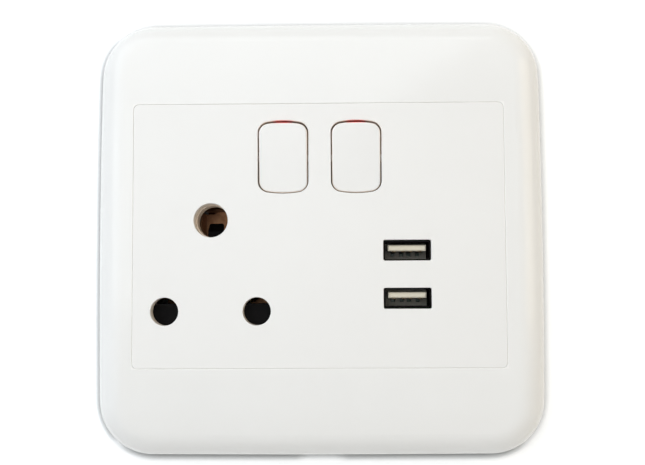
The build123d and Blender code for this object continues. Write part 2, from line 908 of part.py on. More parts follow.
left_fixed_contact = make_fixed_contact(left_x, strip_front)
save(left_fixed_contact, "left_fixed_contact")

right_fold = make_fixed_contact(right_x, floor_height)
with BuildPart() as right_fixed_contact:
    add(right_fold)
    with BuildSketch(at_height(floor_height)):
        with Locations(((right_x + link_x) / 2, foot_z)):
            Rectangle(link_x - right_x + link_width, foot_length)
        with Locations((link_x, (foot_z + supply_top_z) / 2)):
            Rectangle(link_width, foot_z - supply_top_z)
        with Locations(((link_x + supply_x) / 2, supply_top_z + link_width / 2)):
            Rectangle(abs(supply_x - link_x) + link_width, link_width)
    extrude(amount=strip)
    with BuildSketch(at_height(floor_height)):
        with Locations((supply_x, supply_top_z + strip / 2)):
            Rectangle(tab_width, strip)
    extrude(amount=board_back - floor_height)
save(right_fixed_contact.part, "right_fixed_contact")

notch_bottom = seesaw_pivot - notch_clearance
notch_top = notch_bottom + notch_depth
notch_half = notch_depth * tan(radians(notch_half_angle))

with BuildPart() as line_busbar:
    with BuildSketch(at_height(floor_height)):
        with Locations(line_place):
            Rectangle(rocker_spacing + seesaw_width, 2 * post_half)
    extrude(amount=strip)
    for x in (left_x, right_x):
        for shift in (-post_pitch / 2, post_pitch / 2):
            with BuildSketch(side_view(x + shift - strip / 2, rocker_z)):
                with BuildLine():
                    Polyline(
                        (-floor_height, -post_half),
                        (-notch_top, -post_half),
                        (-notch_top, -notch_half),
                        (-notch_bottom, 0),
                        (-notch_top, notch_half),
                        (-notch_top, post_half),
                        (-floor_height, post_half),
                        close=True,
                    )
                make_face()
            extrude(amount=strip)
save(line_busbar.part, "line_busbar")


# Terminals: brass blocks that pass through the housing floor, each with a clamping screw.
terminal_places = {"line": line_place, "neutral": neutral_place, "earth": earth_place}
wire_height = floor_height - terminal_depth / 2

for name, place in terminal_places.items():
    with BuildPart() as terminal:
        with BuildSketch(at_height(terminal_back)):
            with Locations(place):
                Rectangle(terminal_size, terminal_size)
        extrude(amount=terminal_depth)
        chamfer(terminal.edges().group_by(Axis.Y)[-1], length=terminal_chamfer)
        with BuildSketch(Plane.XY.offset(place[1] - terminal_size / 2)):
            with Locations((place[0], -wire_height)):
                Circle(wire_hole / 2)
        extrude(amount=terminal_size, mode=Mode.SUBTRACT)
        with BuildSketch(at_height(terminal_back)):
            with Locations(place):
                Circle(terminal_screw / 2 + screw_clearance)
        extrude(amount=terminal_depth / 2, mode=Mode.SUBTRACT)
    save(terminal.part, f"{name}_terminal")

# The screws are backed out, so that the wire holes stand open.
head_front = terminal_back - terminal_screw_lift
head_back = head_front - terminal_head_height

with BuildPart() as terminal_screws:
    with BuildSketch(at_height(head_front)):
        with Locations(*terminal_places.values()):
            Circle(terminal_screw / 2)
    extrude(amount=terminal_screw_lift + terminal_screw_reach)
    with BuildSketch(at_height(head_back)):
        with Locations(*terminal_places.values()):
            Circle(terminal_head / 2)
    extrude(amount=terminal_head_height)
    chamfer(terminal_screws.edges().group_by(Axis.Y)[-1], length=head_chamfer)
    with BuildSketch(at_height(head_back)):
        with Locations(*terminal_places.values()):
            Rectangle(terminal_head, screw_slot)
    extrude(amount=terminal_head_height / 2, mode=Mode.SUBTRACT)
save(terminal_screws.part, "terminal_screws")


# The rear housing: an open box with screw bosses, board posts and terminal shrouds on its back.
shroud_inner = terminal_size + 2 * shroud_gap
shroud_back = head_back - shroud_gap
post_x = board_width / 2 - board_post_inset
post_z = board_height / 2 - board_post_inset
board_posts = [(usb_x + a * post_x, board_z + b * post_z) for a in (-1, 1) for b in (-1, 1)]

with BuildPart() as rear_housing:
    with BuildSketch(at_height(housing_back)):
        with Locations((panel_x, panel_z)):
            RectangleRounded(housing_width, housing_height, housing_corner)
    extrude(amount=housing_depth)
    fillet(rear_housing.edges().group_by(Axis.Y)[-1], radius=housing_round)
    with BuildSketch(at_height(floor_height)):
        with Locations((panel_x, panel_z)):
            RectangleRounded(cavity_width, cavity_height, housing_corner - housing_wall)
    extrude(amount=-floor_height, mode=Mode.SUBTRACT)
    with BuildSketch(at_height(floor_height)):
        with Locations(*boss_places):
            Circle(boss_radius)
    extrude(amount=-floor_height)
    with BuildSketch(at_height(floor_height)):
        with Locations(*board_posts):
            Circle(board_post_radius)
    extrude(amount=board_back - floor_height)
    with BuildSketch(at_height(board_back)):
        with Locations(*board_posts):
            Circle(board_pin_radius)
    extrude(amount=board_thickness)
    with BuildSketch(at_height(shroud_back)):
        with Locations(*terminal_places.values()):
            Rectangle(shroud_inner + 2 * shroud_wall, shroud_inner + 2 * shroud_wall)
            Rectangle(shroud_inner, shroud_inner, mode=Mode.SUBTRACT)
    extrude(amount=housing_back - shroud_back + housing_wall / 2)
    for place in terminal_places.values():
        with BuildSketch(at_height(shroud_back)):
            with Locations((place[0], place[1] - shroud_inner / 2 - shroud_wall / 2)):
                Rectangle(wire_notch, 2 * shroud_wall)
        extrude(amount=housing_back - shroud_back, mode=Mode.SUBTRACT)
    with BuildSketch(at_height(housing_back - housing_wall)):
        with Locations(*terminal_places.values()):
            Rectangle(terminal_size + 2 * terminal_clearance, terminal_size + 2 * terminal_clearance)
    extrude(amount=2 * housing_wall, mode=Mode.SUBTRACT)
    with BuildSketch(at_height(housing_back)):
        with Locations(*boss_places):
            Circle(housing_screw / 2 + screw_clearance)
    extrude(amount=housing_depth, mode=Mode.SUBTRACT)
    with BuildSketch(at_height(housing_back)):
        with Locations(*boss_places):
            Circle(housing_screw_head / 2 + 2 * screw_clearance)
    extrude(amount=head_height, mode=Mode.SUBTRACT)
save(rear_housing.part, "rear_housing")

with BuildPart() as housing_screws:
    with BuildSketch(at_height(housing_back)):
        with Locations(*boss_places):
            Circle(housing_screw_head / 2)
    extrude(amount=head_height - screw_clearance)
    with BuildSketch(at_height(housing_back + head_height - screw_clearance)):
        with Locations(*boss_places):
            Circle(housing_screw / 2)
    extrude(amount=housing_depth - head_height + screw_bite)
    for turn in (0, 90):
        with BuildSketch(at_height(housing_back)):
            with Locations(*[Location((x, z, 0), turn) for x, z in boss_places]):
                Rectangle(cross_length, screw_slot)
        extrude(amount=head_height / 2, mode=Mode.SUBTRACT)
save(housing_screws.part, "housing_screws")


# Charging ports: folded shells, insulators with a tongue, and four contact strips each.
shell_width = usb_width - 2 * shell_gap
shell_height = usb_height - 2 * shell_gap
inner_width = shell_width - 2 * shell_wall
inner_height = shell_height - 2 * shell_wall
tongue_back = shell_back + back_wall
tongue_front = shell_front - tongue_set_back
contact_offsets = (-contact_outer, -contact_inner, contact_inner, contact_outer)
port_places = {"upper": usb_z + usb_board_pitch / 2, "lower": usb_z - usb_board_pitch / 2}


def make_shell(z):
    """Folded tube with four spring leaves and four solder legs."""
    leaf_middle = (shell_front + tongue_back) / 2
    leaf_places = [usb_x - leaf_pitch / 2, usb_x + leaf_pitch / 2]
    with BuildPart() as shell:
        with BuildSketch(at_height(shell_back)):
            with Locations((usb_x, z)):
                RectangleRounded(shell_width, shell_height, usb_corner)
                RectangleRounded(inner_width, inner_height, usb_corner - shell_wall, mode=Mode.SUBTRACT)
        extrude(amount=shell_length)
        with BuildSketch(Plane.XY.offset(z - shell_height)):
            with Locations(*[(x, -leaf_middle) for x in leaf_places]):
                Rectangle(leaf_width + 2 * leaf_slit, leaf_length)
            with Locations(*[(x, -leaf_middle + leaf_slit) for x in leaf_places]):
                Rectangle(leaf_width, leaf_length, mode=Mode.SUBTRACT)
        extrude(amount=2 * shell_height, mode=Mode.SUBTRACT)
        leg_x = shell_width / 2 - shell_wall / 2
        with BuildSketch(at_height(shell_back - leg_length)):
            with Locations((usb_x - leg_x, z), (usb_x + leg_x, z)):
                Rectangle(shell_wall, leg_width)
        extrude(amount=leg_length)
    return shell.part


def make_tongue(z):
    """Insulator: a back wall with four contact ports and a tongue above them."""
    tongue_z = z + tongue_rise
    port_z = tongue_z - tongue_thickness / 2 - contact_port / 2
    with BuildPart() as tongue:
        with BuildSketch(at_height(shell_back)):
            with Locations((usb_x, z)):
                Rectangle(inner_width - 2 * insulator_gap, inner_height - 2 * insulator_gap)
            with Locations(*[(usb_x + step, port_z) for step in contact_offsets]):
                Rectangle(contact_port, contact_port, mode=Mode.SUBTRACT)
        extrude(amount=back_wall)
        with BuildSketch(at_height(tongue_back)):
            with Locations((usb_x, tongue_z)):
                Rectangle(tongue_width, tongue_thickness)
        extrude(amount=tongue_front - tongue_back)
        chamfer(tongue.faces().sort_by(Axis.Y)[0].edges(), length=tongue_chamfer)
    return tongue.part


def make_contacts(z):
    """Four flat strips under the tongue, with tails through the board."""
    strip_z = z + tongue_rise - tongue_thickness / 2 - contact_thickness / 2
    with BuildPart() as contacts:
        with BuildSketch(at_height(shell_back - leg_length)):
            with Locations(*[(usb_x + step, strip_z) for step in contact_offsets]):
                Rectangle(contact_width, contact_thickness)
        extrude(amount=tongue_front - contact_set_back - shell_back + leg_length)
    return contacts.part


for name, z in port_places.items():
    save(make_shell(z), f"{name}_usb_shell")
    save(make_tongue(z), f"{name}_usb_tongue")
    save(make_contacts(z), f"{name}_usb_contacts")


# The charger board and the parts on its back.
with BuildPart() as usb_circuit_board:
    with BuildSketch(at_height(board_back)):
        with Locations((usb_x, board_z)):
            RectangleRounded(board_width, board_height, board_corner)
        with Locations(*board_posts):
            Circle(board_pin_radius + board_pin_clearance, mode=Mode.SUBTRACT)
        for z in port_places.values():
            strip_z = z + tongue_rise - tongue_thickness / 2 - contact_thickness / 2
            with Locations(*[(usb_x + step, strip_z) for step in contact_offsets]):
                Rectangle(
                    contact_width + 2 * pin_clearance,
                    contact_thickness + 2 * pin_clearance,
                    mode=Mode.SUBTRACT,
                )
            leg_x = shell_width / 2 - shell_wall / 2
            with Locations((usb_x - leg_x, z), (usb_x + leg_x, z)):
                Rectangle(shell_wall + 2 * pin_clearance, leg_width + 2 * pin_clearance, mode=Mode.SUBTRACT)
    extrude(amount=board_thickness)
save(usb_circuit_board.part, "usb_circuit_board")

# The transformer: a ferrite core with a middle leg, and a taped winding around that leg.
core_x = supply_x + tab_width / 2 + core_width / 2 + 2 * pin_clearance
core_z = board_top - board_post_inset + board_post_radius - core_height / 2 - core_web / 2
coil_middle = board_back - coil_depth / 2
coil_width = core_leg + 2 * winding
coil_height = core_height - 2 * core_web - 2 * coil_gap

with BuildPart() as transformer_core:
    with BuildSketch(at_height(coil_middle - core_depth / 2)):
        with Locations((core_x, core_z)):
            Rectangle(core_width, core_height)
            Rectangle(core_width - 2 * core_web, core_height - 2 * core_web, mode=Mode.SUBTRACT)
            Rectangle(core_leg, core_height)
    extrude(amount=core_depth)
save(transformer_core.part, "transformer_core")

with BuildPart() as transformer_coil:
    with BuildSketch(Plane.XY.offset(core_z - coil_height / 2)):
        with Locations((core_x, -coil_middle)):
            RectangleRounded(coil_width, coil_depth, coil_corner)
            Rectangle(core_leg + 2 * coil_gap, core_depth + 2 * coil_gap, mode=Mode.SUBTRACT)
    extrude(amount=coil_height)
save(transformer_coil.part, "transformer_coil")


# Capacitors: round cans with a rolled bead near the leads.
def make_can(plane, radius, length):
    """Can standing on a plane, with a bead close to its foot."""
    with BuildPart() as can:
        with BuildSketch(plane):
            Circle(radius)
        extrude(amount=length)
        fillet(can.edges().filter_by(GeomType.CIRCLE), radius=capacitor_round)
        with BuildSketch(plane.offset(bead_offset)):
            Circle(radius)
            Circle(radius - bead_depth, mode=Mode.SUBTRACT)
        extrude(amount=bead_width, mode=Mode.SUBTRACT)
    return can.part


input_x = supply_x + capacitor_gap
input_z = (board_bottom + port_places["lower"] - shell_height / 2) / 2
input_start = (input_x, capacitor_radius - board_back, input_z)
input_plane = Plane(origin=input_start, x_dir=(0, 1, 0), z_dir=(1, 0, 0))
save(make_can(input_plane, capacitor_radius, capacitor_length), "input_capacitor")

output_x = usb_x + board_width / 2 - output_capacitor_radius - pin_clearance
output_planes = [
    Plane(origin=(output_x, -board_back, usb_z + step), x_dir=(1, 0, 0), z_dir=(0, 1, 0))
    for step in (-output_capacitor_pitch / 2, output_capacitor_pitch / 2)
]
output_cans = [make_can(plane, output_capacitor_radius, output_capacitor_height) for plane in output_planes]
with BuildPart() as output_capacitors:
    add(output_cans)
save(output_capacitors.part, "output_capacitors")


# Chips: moulded bodies with a row of leads on each side.
def make_chip(place, width, height, depth, leads):
    """Chip lying on the back of the board, with its leads to the left and right."""
    with BuildPart() as chip:
        with BuildSketch(at_height(board_back)):
            with Locations(place):
                Rectangle(width, height)
        extrude(amount=-depth)
        chamfer(chip.edges().group_by(Axis.Y)[-1], length=chip_chamfer)
        with BuildSketch(at_height(board_back)):
            with Locations(place):
                with GridLocations(chip_lead_pitch, chip_lead_pitch, 1, leads):
                    Rectangle(width + 2 * chip_lead_reach, chip_lead)
        extrude(amount=-chip_lead_thickness)
    return chip.part


chip_x = board_left + rectifier_width / 2 + chip_lead_reach + pin_clearance
controller_place = (chip_x, port_places["upper"])
rectifier_place = (chip_x, port_places["lower"] + rectifier_height / 2)
charge_controller = make_chip(
    controller_place,
    controller_width,
    controller_height,
    controller_depth,
    controller_lead_count,
)
save(charge_controller, "charge_controller")
rectifier = make_chip(
    rectifier_place,
    rectifier_width,
    rectifier_height,
    rectifier_depth,
    rectifier_lead_count,
)
save(rectifier, "rectifier")
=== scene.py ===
import bpy
import math
from mathutils import Matrix, Vector
from mathutils.geometry import convex_hull_2d


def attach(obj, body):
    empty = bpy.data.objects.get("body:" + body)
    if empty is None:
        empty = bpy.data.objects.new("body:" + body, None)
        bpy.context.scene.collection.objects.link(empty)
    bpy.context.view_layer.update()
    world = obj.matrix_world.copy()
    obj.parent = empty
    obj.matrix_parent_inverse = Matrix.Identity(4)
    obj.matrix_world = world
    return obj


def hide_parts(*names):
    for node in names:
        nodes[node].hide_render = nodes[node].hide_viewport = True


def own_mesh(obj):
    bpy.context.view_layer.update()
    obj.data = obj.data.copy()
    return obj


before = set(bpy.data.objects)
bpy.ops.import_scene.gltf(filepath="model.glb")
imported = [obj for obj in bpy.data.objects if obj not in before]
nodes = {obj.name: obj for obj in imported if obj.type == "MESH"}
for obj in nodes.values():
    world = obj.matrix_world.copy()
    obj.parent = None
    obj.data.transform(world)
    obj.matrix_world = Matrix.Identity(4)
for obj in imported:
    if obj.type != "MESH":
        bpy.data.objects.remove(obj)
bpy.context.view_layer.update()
scene = bpy.context.scene
scene.view_settings.view_transform = "Standard"

MM = 0.001

# Most of a noise texture's values lie between the first two, and metal is clear of tarnish at the third.
NOISE_LOW, NOISE_HIGH = 0.3, 0.7
TARNISH_HIGH = 0.68

# A Mix node's colour sockets have names that repeat, so they go by number.
MIX_FIRST, MIX_SECOND, MIX_RESULT = 6, 7, 2

# The front panel's outline, along which it meets the cover.
panel_x, panel_z = -0.4 * MM, 0.1 * MM
panel_width, panel_height = 102.4 * MM, 72.9 * MM
seam_round = 0.25 * MM
# Painted light: the seam's rounded edges are painted paler, standing in for light passing to and fro
# between white faces.
seam_painted_light = (0.935, 0.927, 0.915)

# Painted shade: the walls of the holes in the panel are painted darker and warmer from one depth to
# another.
hole_front_y, hole_deep_y = -10.95 * MM, -8.0 * MM
hole_painted_shade = (0.885, 0.785, 0.68)

# The rockers, the painted warm shade on the walls of their gaps, and the painted flash at the upper end.
rocker_x = 10.1 * MM
gap_painted_shade = (0.92, 0.73, 0.60)
gap_wall_facing, gap_front_facing = 0.4, 0.8
flash_half_width, flash_low_z = 2.6 * MM, 31.0 * MM
flash_red = (0.98, 0.05, 0.03)

# The ports' tongues lie in the dark towards their roots, so shade is painted into their colour there.
tongue_front_y, tongue_deep_y = -4.0 * MM, -2.0 * MM
tongue_painted_shade = (0.33, 0.31, 0.255)

# The shutter's spring.
spring_foot = (-30.1 * MM, -4.4 * MM, -34.75 * MM)
spring_free, spring_stroke = 11.65 * MM, 6.0 * MM
spring_turns, spring_radius, spring_wire = 8, 1.3 * MM, 0.4 * MM

# The stage: how far it reaches, where its floor is, and the opening in the wall behind the part.
stage_half = 1.6
floor_z = -0.20
wall_foot_z = floor_z + 4 * MM
wall_plane_depth = 0.05 * MM
rim_inset = 0.1 * MM
stage_glow = (0.93, 0.97, 1.0, 1.0)

# The contact shadow painted onto the wall from ambient occlusion, deepest at the left and below.
shadow_reach = 2.65 * MM
shadow_samples = 8
shadow_edge = (-58 * MM, -60.5 * MM)
shadow_power, shadow_power_left, shadow_power_below = 1.3, 3.2, 2.9

# The light.
world_colour, world_strength = (1.0, 0.968, 0.92, 1.0), 0.38
background_white = (1.0, 1.0, 1.0, 1.0)
cool_light = (0.895, 0.952, 1.0)
warm_light = (1.0, 0.83, 0.56)
back_light = (1.0, 0.985, 0.96)

# The camera's lens and reach.
photo_width_px, focal_px = 645.0, 900.0
sensor_width = 36.0
clip_near, clip_far = 0.01, 20.0

# The camera's turn and place in the photograph's frame: X right, Y up, Z to the viewer, in millimetres.
camera_turn_deg = (-3.61, -0.99, 0.35)
camera_offset = Vector((-1.1, -0.6, -247.1))
camera_aim = Vector((-0.4, 0.1, 11.0))


class Nodes:
    """A node tree, built node by node."""

    def __init__(self, owner):
        owner.use_nodes = True
        self.tree = owner.node_tree
        self.tree.nodes.clear()

    def add(self, kind, inputs=None, **props):
        """Node with the values of its inputs and its properties."""
        node = self.tree.nodes.new(kind)
        for key, value in props.items():
            setattr(node, key, value)
        for key, value in (inputs or {}).items():
            node.inputs[key].default_value = value
        return node

    def link(self, source, out, target, entry):
        self.tree.links.new(source.outputs[out], target.inputs[entry])

    def axes(self, kind="Object"):
        """Place or direction in the object's own space, as three values."""
        coord = self.add("ShaderNodeTexCoord")
        node = self.add("ShaderNodeSeparateXYZ")
        self.link(coord, kind, node, "Vector")
        return node

    def math(self, operation, source, out="Value", number=None):
        """Math node on a value, and on a number where it needs one."""
        node = self.add("ShaderNodeMath", operation=operation)
        self.link(source, out, node, 0)
        if number is not None:
            node.inputs[1].default_value = number
        return node

    def math_of_two(self, operation, first, first_out, second, second_out):
        """Math node on two values."""
        node = self.math(operation, first, first_out)
        self.link(second, second_out, node, 1)
        return node

    def span(self, source, out, low, high, from_low=NOISE_LOW, from_high=NOISE_HIGH):
        """Value mapped from one range to another."""
        ends = {"From Min": from_low, "From Max": from_high, "To Min": low, "To Max": high}
        node = self.add("ShaderNodeMapRange", ends)
        self.link(source, out, node, "Value")
        return node

    def either(self, amount, out, first, second):
        """Shader that goes from one shader to another."""
        node = self.add("ShaderNodeMixShader")
        self.link(amount, out, node, "Fac")
        self.link(first, 0, node, 1)
        self.link(second, 0, node, 2)
        return node

    def in_view(self):
        """1 for what the camera sees, also in metal and through glass, and 0 for light on the part."""
        path = self.add("ShaderNodeLightPath")
        seen = self.math_of_two("MAXIMUM", path, "Is Camera Ray", path, "Is Glossy Ray")
        return self.math_of_two("MAXIMUM", seen, "Value", path, "Is Transmission Ray")


class Maker(Nodes):
    """One procedural material around a Principled shader."""

    def __init__(self, name):
        self.mat = bpy.data.materials.new(name)
        super().__init__(self.mat)
        self.bsdf = self.add("ShaderNodeBsdfPrincipled")
        self.link(self.bsdf, "BSDF", self.add("ShaderNodeOutputMaterial"), "Surface")
        self.coord = self.add("ShaderNodeTexCoord")

    def set(self, socket, value):
        self.bsdf.inputs[socket].default_value = value

    def noise(self, per_mm, detail, rough, stretch=None):
        """Noise with about that many features per millimetre, in the object's own space."""
        node = self.add("ShaderNodeTexNoise", {"Scale": per_mm / MM, "Detail": detail, "Roughness": rough})
        if stretch is None:
            self.link(self.coord, "Object", node, "Vector")
        else:
            mapping = self.add("ShaderNodeMapping", {"Scale": stretch})
            self.link(self.coord, "Object", mapping, "Vector")
            self.link(mapping, "Vector", node, "Vector")
        return node

    def colour(self, source, *stops):
        """Base colour from a ramp over a noise."""
        node = self.add("ShaderNodeValToRGB")
        for element, (place, colour) in zip(node.color_ramp.elements, stops):
            element.position = place
            element.color = (*colour, 1.0)
        self.link(source, "Fac", node, "Fac")
        self.link(node, "Color", self.bsdf, "Base Color")

    def rough(self, source, smooth, dull):
        """Roughness that follows a noise."""
        self.link(self.span(source, "Fac", smooth, dull), "Result", self.bsdf, "Roughness")

    def bump(self, source, height_mm, strength, before=None):
        """Bump of a height in millimetres, over another one where there is one."""
        node = self.add("ShaderNodeBump", {"Strength": strength, "Distance": height_mm * MM})
        self.link(source, "Fac", node, "Height")
        if before is not None:
            self.link(before, "Normal", node, "Normal")
        self.link(node, "Normal", self.bsdf, "Normal")
        return node

    def mix_in(self, amount, out, tint):
        """Mixes another colour over the colour that the material has so far."""
        base = self.bsdf.inputs["Base Color"]
        surface = base.links[0].from_socket
        mix = self.add("ShaderNodeMix", {MIX_SECOND: (*tint, 1.0)}, data_type="RGBA")
        self.link(amount, out, mix, "Factor")
        self.tree.links.new(surface, mix.inputs[MIX_FIRST])
        self.tree.links.new(mix.outputs[MIX_RESULT], base)


def moulded(name, colour, darker, rough, grain_per_mm, grain_mm, wave_mm):
    """Injection-moulded plastic: cloudy tint, fine grain and a slow wave in the skin."""
    m = Maker(name)
    cloud = m.noise(per_mm=0.035, detail=3.0, rough=0.55)
    m.colour(cloud, (NOISE_LOW, darker), (NOISE_HIGH, colour))
    smear = m.noise(per_mm=0.12, detail=4.0, rough=0.6)
    m.rough(smear, *rough)
    wave = m.noise(per_mm=0.09, detail=2.0, rough=0.4)
    slow = m.bump(wave, wave_mm, strength=0.35)
    grain = m.noise(grain_per_mm, detail=2.0, rough=0.6)
    m.bump(grain, grain_mm, strength=0.5, before=slow)
    m.set("IOR", 1.49)
    return m


def metal(name, light, dark, rough, streaks_per_mm, stretch, grain_mm):
    """Metal with streaks along one direction and a little tarnish."""
    m = Maker(name)
    tarnish = m.noise(per_mm=0.5, detail=4.0, rough=0.6)
    m.colour(tarnish, (NOISE_LOW, dark), (TARNISH_HIGH, light))
    streak = m.noise(streaks_per_mm, detail=3.0, rough=0.6, stretch=stretch)
    m.rough(streak, *rough)
    m.bump(streak, grain_mm, strength=0.5)
    m.set("Metallic", 1.0)
    return m


def paint_depth_shade(m, front_y, back_y, tint):
    """Paints shade into the plastic's colour from one depth to another, darker deeper in, as inside holes
    and ports.
    """
    m.mix_in(m.span(m.axes(), "Y", 0.0, 1.0, front_y, back_y), "Result", tint)


def paint_gap_shade(m, tint):
    """Paints warm shade onto the walls that stand in a gap, standing in for the tone that light takes on
    between white faces.
    """
    facing = m.math("ABSOLUTE", m.axes("Normal"), "Y")
    m.mix_in(m.span(facing, "Value", 1.0, 0.0, gap_wall_facing, gap_front_facing), "Result", tint)


def paint_seam_light(m, tint):
    """Paints light onto the rounded edges of the seam: a paler colour that stands in for light passing to
    and fro between white faces.
    """
    place = m.axes()
    past = []
    for axis, middle, size in (("X", panel_x, panel_width), ("Z", panel_z, panel_height)):
        reach = m.math("ABSOLUTE", m.math("SUBTRACT", place, axis, middle))
        past.append(m.math("SUBTRACT", reach, "Value", size / 2))
    outside = m.math_of_two("MAXIMUM", past[0], "Value", past[1], "Value")
    away = m.math("ABSOLUTE", outside)
    m.mix_in(m.span(away, "Value", 1.0, 0.0, 0.0, seam_round), "Result", tint)


def flash(m, middle_x):
    """Paints a red flash across the middle of a rocker's upper end."""
    place = m.axes()
    off_middle = m.math("ABSOLUTE", m.math("SUBTRACT", place, "X", middle_x))
    in_width = m.math("LESS_THAN", off_middle, "Value", flash_half_width)
    at_top = m.math("GREATER_THAN", place, "Z", flash_low_z)
    m.mix_in(m.math_of_two("MULTIPLY", in_width, "Value", at_top, "Value"), "Value", flash_red)


materials = {}


def give(m, *names):
    """Gives a material to the CAD nodes of these names."""
    for name in names:
        materials[name] = m.mat


# The white plastics of the front.
gloss = moulded(
    "cover_gloss", (0.87, 0.87, 0.865), (0.86, 0.86, 0.855), rough=(0.11, 0.15),
    grain_per_mm=1.6, grain_mm=0.003, wave_mm=0.02,
)
paint_seam_light(gloss, seam_painted_light)
give(gloss, "cover_frame")

satin = moulded(
    "panel_satin", (0.865, 0.862, 0.856), (0.855, 0.852, 0.846), rough=(0.28, 0.33),
    grain_per_mm=5.0, grain_mm=0.004, wave_mm=0.012,
)
paint_depth_shade(satin, hole_front_y, hole_deep_y, hole_painted_shade)
paint_seam_light(satin, seam_painted_light)
give(satin, "front_panel")

for side, middle_x in (("left", -rocker_x), ("right", rocker_x)):
    rocker = moulded(
        f"{side}_rocker_gloss", (0.87, 0.868, 0.864), (0.86, 0.858, 0.854), rough=(0.15, 0.2),
        grain_per_mm=2.2, grain_mm=0.004, wave_mm=0.012,
    )
    paint_gap_shade(rocker, gap_painted_shade)
    flash(rocker, middle_x)
    give(rocker, f"{side}_rocker")

# The other plastics.
housing = moulded(
    "housing_matte", (0.62, 0.62, 0.60), (0.57, 0.57, 0.555), rough=(0.45, 0.6),
    grain_per_mm=6.0, grain_mm=0.012, wave_mm=0.02,
)
give(housing, "rear_housing")

shutter = moulded(
    "shutter_black", (0.0036, 0.0032, 0.0034), (0.0022, 0.0019, 0.0021), rough=(0.5, 0.65),
    grain_per_mm=6.0, grain_mm=0.01, wave_mm=0.01,
)
shutter.set("Specular IOR Level", 0.07)
give(shutter, "safety_shutter")

plunger = moulded(
    "plunger_natural", (0.70, 0.67, 0.60), (0.63, 0.60, 0.53), rough=(0.3, 0.42),
    grain_per_mm=4.0, grain_mm=0.006, wave_mm=0.01,
)
give(plunger, "left_rocker_plunger", "right_rocker_plunger")

tongue = moulded(
    "tongue_cream", (0.725, 0.68, 0.565), (0.67, 0.63, 0.515), rough=(0.35, 0.5),
    grain_per_mm=5.0, grain_mm=0.008, wave_mm=0.01,
)
paint_depth_shade(tongue, tongue_front_y, tongue_deep_y, tongue_painted_shade)
give(tongue, "upper_usb_tongue", "lower_usb_tongue")

# The metals.
zinc = metal(
    "zinc_plate", (0.66, 0.67, 0.69), (0.52, 0.53, 0.55), rough=(0.28, 0.46),
    streaks_per_mm=1.2, stretch=(1.0, 1.0, 1.0), grain_mm=0.004,
)
give(zinc, "mounting_frame", "housing_screws", "terminal_screws")

wire = metal(
    "spring_wire", (0.50, 0.50, 0.52), (0.34, 0.34, 0.36), rough=(0.25, 0.4),
    streaks_per_mm=3.0, stretch=(1.0, 1.0, 0.2), grain_mm=0.003,
)
give(wire, "left_rocker_spring", "right_rocker_spring", "shutter_spring")

# Painted shade: the strips' brass is painted dark brown, standing in for the shade deep behind the holes.
strip = metal(
    "brass_strip", (0.35, 0.185, 0.10), (0.23, 0.115, 0.06), rough=(0.28, 0.46),
    streaks_per_mm=3.0, stretch=(0.15, 1.0, 1.0), grain_mm=0.004,
)
give(strip, "live_contact", "neutral_contact", "earth_contact", "line_busbar")
give(strip, "left_fixed_contact", "right_fixed_contact", "left_moving_contact", "right_moving_contact")

block = metal(
    "brass_block", (0.74, 0.53, 0.25), (0.55, 0.36, 0.14), rough=(0.2, 0.36),
    streaks_per_mm=2.0, stretch=(1.0, 1.0, 0.1), grain_mm=0.005,
)
give(block, "line_terminal", "neutral_terminal", "earth_terminal")

tip = metal(
    "tip_silver", (0.80, 0.79, 0.76), (0.60, 0.59, 0.56), rough=(0.2, 0.35),
    streaks_per_mm=4.0, stretch=(1.0, 1.0, 1.0), grain_mm=0.003,
)
give(tip, "left_fixed_tip", "right_fixed_tip", "left_moving_tip", "right_moving_tip")

# Painted shade: the shell's colour and the tint of its reflections are painted near black, standing in for
# the shade inside the ports.
shell = metal(
    "shell_nickel_painted_shade", (0.009, 0.0083, 0.008), (0.006, 0.0055, 0.005), rough=(0.4, 0.55),
    streaks_per_mm=2.5, stretch=(1.0, 0.12, 1.0), grain_mm=0.004,
)
shell.set("Specular Tint", (0.2, 0.19, 0.18, 1.0))
give(shell, "upper_usb_shell", "lower_usb_shell")

# Painted shade: the contacts' gold is painted dark, standing in for the shade under the tongues.
gold = metal(
    "contact_gold_painted_shade", (0.13, 0.09, 0.045), (0.09, 0.06, 0.03), rough=(0.25, 0.4),
    streaks_per_mm=4.0, stretch=(1.0, 0.15, 1.0), grain_mm=0.002,
)
give(gold, "upper_usb_contacts", "lower_usb_contacts")

# The charger board and what is on it.
board = moulded(
    "board_mask", (0.012, 0.085, 0.035), (0.008, 0.06, 0.024), rough=(0.25, 0.4),
    grain_per_mm=4.0, grain_mm=0.01, wave_mm=0.02,
)
give(board, "usb_circuit_board")

ferrite = moulded(
    "ferrite_grey", (0.07, 0.07, 0.072), (0.04, 0.04, 0.042), rough=(0.5, 0.7),
    grain_per_mm=5.0, grain_mm=0.03, wave_mm=0.02,
)
give(ferrite, "transformer_core")

tape = moulded(
    "coil_tape", (0.72, 0.50, 0.06), (0.62, 0.40, 0.04), rough=(0.2, 0.32),
    grain_per_mm=0.6, grain_mm=0.02, wave_mm=0.04,
)
give(tape, "transformer_coil")

sleeve = moulded(
    "can_sleeve", (0.03, 0.035, 0.05), (0.02, 0.022, 0.03), rough=(0.18, 0.3),
    grain_per_mm=2.0, grain_mm=0.01, wave_mm=0.02,
)
give(sleeve, "input_capacitor", "output_capacitors")

resin = moulded(
    "chip_resin", (0.035, 0.035, 0.036), (0.022, 0.022, 0.023), rough=(0.45, 0.6),
    grain_per_mm=8.0, grain_mm=0.012, wave_mm=0.01,
)
give(resin, "charge_controller", "rectifier")

for name, node in nodes.items():
    for slot in node.material_slots:
        slot.material = materials[name]


def add_mesh(name, points, faces):
    """Object with a mesh of these points and faces."""
    mesh = bpy.data.meshes.new(name)
    mesh.from_pydata(points, [], faces)
    piece = bpy.data.objects.new(name, mesh)
    scene.collection.objects.link(piece)
    return piece


